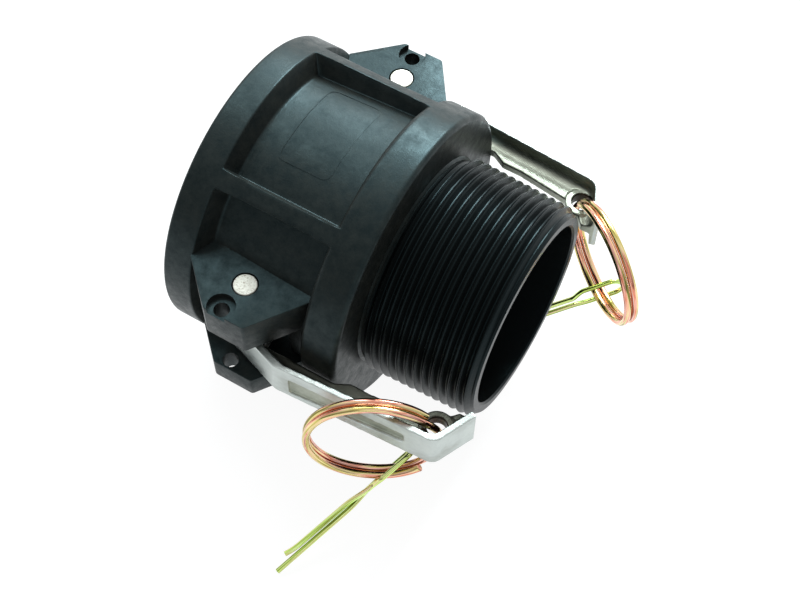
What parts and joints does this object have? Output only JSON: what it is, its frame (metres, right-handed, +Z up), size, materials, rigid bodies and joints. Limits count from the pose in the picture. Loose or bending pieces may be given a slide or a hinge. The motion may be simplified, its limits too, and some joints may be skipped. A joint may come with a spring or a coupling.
{
  "type": "cam and groove coupler",
  "caption": "Female cam and groove hose coupler with a tapered male pipe thread, hinged cam arms on pins, and a split ring and safety clip on each arm.",
  "frame": {"origin": "centre of the bounding box, at the level of the table that the coupler lies on", "axes": "+X along the pipe axis from the socket to the thread's end, +Y from the near arm to the far arm, +Z up along the lever pins"},
  "size_m": [0.1042, 0.1242, 0.0799],
  "materials": {
    "moulded_black": "satin moulded",
    "seal_rubber": "matte",
    "cast_stainless": "satin cast",
    "pin_steel": "bright drawn",
    "yellow_zinc": "bright yellow zinc plating"
  },
  "bodies": {
    "body": {"coupler_body": "moulded_black", "gasket": "seal_rubber", "near_pivot_pin": "pin_steel", "far_pivot_pin": "pin_steel"},
    "near_arm": {"near_cam_arm": "cast_stainless"},
    "far_arm": {"far_cam_arm": "cast_stainless"},
    "near_ring": {"near_pull_ring": "yellow_zinc"},
    "far_ring": {"far_pull_ring": "yellow_zinc"},
    "near_clip": {"near_safety_clip": "yellow_zinc"},
    "far_clip": {"far_safety_clip": "yellow_zinc"}
  },
  "joints": [
    {"name": "near_arm_hinge", "type": "hinge", "parent": "body", "child": "near_arm", "pos_m": [-0.02858, -0.02139, 0.03997], "axis": [0, 0, -1], "range_deg": [0, 100]},
    {"name": "far_arm_hinge", "type": "hinge", "parent": "body", "child": "far_arm", "pos_m": [-0.02858, 0.05161, 0.03997], "axis": [0, 0, 1], "range_deg": [0, 100]},
    {"name": "near_ring_swing", "type": "hinge", "parent": "near_arm", "child": "near_ring", "pos_m": [0.02542, -0.02273, 0.03802], "axis": [-0.473, 0.8785, -0.0663], "range_deg": [0, 40]},
    {"name": "far_ring_swing", "type": "hinge", "parent": "far_arm", "child": "far_ring", "pos_m": [0.02517, 0.05247, 0.03882], "axis": [-0.6067, -0.7907, -0.0819], "range_deg": [0, 12]},
    {"name": "near_clip_swing", "type": "hinge", "parent": "near_ring", "child": "near_clip", "pos_m": [0.01633, -0.02931, 0.01575], "axis": [-0.8467, -0.4741, -0.2414], "range_deg": [-48, 22]},
    {"name": "far_clip_swing", "type": "hinge", "parent": "far_ring", "child": "far_clip", "pos_m": [0.03817, 0.04448, 0.01694], "axis": [-0.7933, 0.6089, -0.0017], "range_deg": [-80, 0]}
  ]
}
